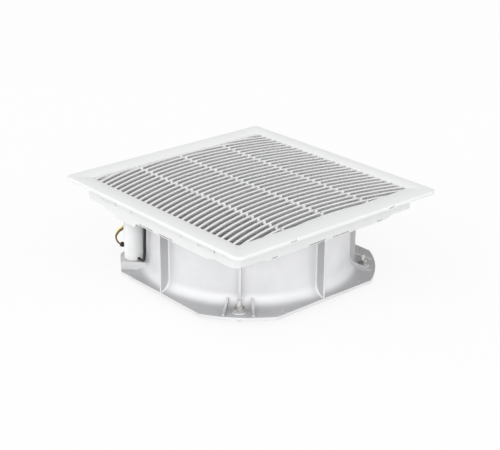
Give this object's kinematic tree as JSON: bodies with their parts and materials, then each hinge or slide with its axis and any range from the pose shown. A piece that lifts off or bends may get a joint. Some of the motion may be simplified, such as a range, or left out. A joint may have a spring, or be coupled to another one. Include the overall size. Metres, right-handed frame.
{
  "type": "filter fan",
  "caption": "Cabinet filter fan: square frame with a hinged grille of curved slats and a filter mat over an axial fan in a cast duct with corner bolts and a capacitor.",
  "frame": {"origin": "bottom centre, on the plane of the corner bolts' heads, on the fan's axis", "axes": "+Z out of the cabinet through the grille, +X along the chords of the slats, +Y across the slats towards the cover's hinges"},
  "size_m": [0.316, 0.332, 0.115],
  "materials": {
    "white_plastic": "light grey-white moulded plastic with a fine satin grain",
    "steel": "zinc plated steel",
    "foam": "closed-cell foam seal",
    "fleece": "white non-woven filter fleece",
    "cast_aluminium": "die-cast aluminium with a fine cast grain",
    "laminations": "stacked electrical sheet",
    "copper": "varnished copper winding",
    "black_paint": "satin black coating",
    "capacitor_plastic": "white plastic can, slightly glossy",
    "brass": "brass screws",
    "black_rubber": "black cable jacket",
    "brown_insulation": "brown core insulation",
    "earth_insulation": "green and yellow core insulation"
  },
  "bodies": {
    "base": {"cover_hinge_pins": "steel", "base_frame": "white_plastic", "panel_gasket": "foam", "filter_mat": "fleece", "frame_screws": "steel", "frame_nuts": "steel", "fan_housing": "cast_aluminium", "stator_base": "cast_aluminium", "stator_core": "laminations", "stator_windings": "copper", "bearing_lower": "steel", "bearing_upper": "steel", "motor_screws": "steel", "finger_guard": "steel", "guard_bolts": "steel", "guard_washers": "steel", "guard_nuts": "steel", "capacitor_body": "capacitor_plastic", "capacitor_cap": "capacitor_plastic", "capacitor_foot": "steel", "capacitor_bolt": "steel", "capacitor_nut": "steel", "terminal_block": "white_plastic", "terminal_screws": "brass", "motor_cable": "black_rubber", "cable_grommet": "black_rubber", "wire_brown": "brown_insulation", "wire_earth": "earth_insulation", "capacitor_lead": "black_rubber"},
    "rotor": {"rotor_shaft": "steel", "shaft_ring": "steel", "rotor_can": "black_paint", "rotor_cage": "cast_aluminium", "impeller": "black_paint"},
    "cover": {"cover_grille": "white_plastic"},
    "latch_left": {"cover_latch_left": "white_plastic"},
    "latch_right": {"cover_latch_right": "white_plastic"},
    "clip_left_front": {"panel_clip_left_front": "white_plastic"},
    "clip_left_rear": {"panel_clip_left_rear": "white_plastic"},
    "clip_right_front": {"panel_clip_right_front": "white_plastic"},
    "clip_right_rear": {"panel_clip_right_rear": "white_plastic"}
  },
  "joints": [
    {"name": "rotor_spin", "type": "hinge", "parent": "base", "child": "rotor", "pos_m": [0, 0, 0.04], "axis": [0, 0, 1], "continuous": true},
    {"name": "cover_hinge", "type": "hinge", "parent": "base", "child": "cover", "pos_m": [0, 0.1633, 0.1101], "axis": [-1, 0, 0], "range_deg": [0, 70]},
    {"name": "latch_left_press", "type": "hinge", "parent": "base", "child": "latch_left", "pos_m": [-0.064, -0.1617, 0.11165], "axis": [0, 0, -1], "range_deg": [0, 4.5], "stiffness_Nm_per_rad": 0.8},
    {"name": "latch_right_press", "type": "hinge", "parent": "base", "child": "latch_right", "pos_m": [0.064, -0.1617, 0.11165], "axis": [0, 0, 1], "range_deg": [0, 4.5], "stiffness_Nm_per_rad": 0.8},
    {"name": "clip_left_front_flex", "type": "hinge", "parent": "base", "child": "clip_left_front", "pos_m": [-0.14125, -0.0933, 0.097], "axis": [0, 1, 0], "range_deg": [0, 10], "stiffness_Nm_per_rad": 1.5},
    {"name": "clip_left_rear_flex", "type": "hinge", "parent": "base", "child": "clip_left_rear", "pos_m": [-0.14125, 0.0933, 0.097], "axis": [0, 1, 0], "range_deg": [0, 10], "stiffness_Nm_per_rad": 1.5},
    {"name": "clip_right_front_flex", "type": "hinge", "parent": "base", "child": "clip_right_front", "pos_m": [0.14125, -0.0933, 0.097], "axis": [0, -1, 0], "range_deg": [0, 10], "stiffness_Nm_per_rad": 1.5},
    {"name": "clip_right_rear_flex", "type": "hinge", "parent": "base", "child": "clip_right_rear", "pos_m": [0.14125, 0.0933, 0.097], "axis": [0, -1, 0], "range_deg": [0, 10], "stiffness_Nm_per_rad": 1.5}
  ]
}
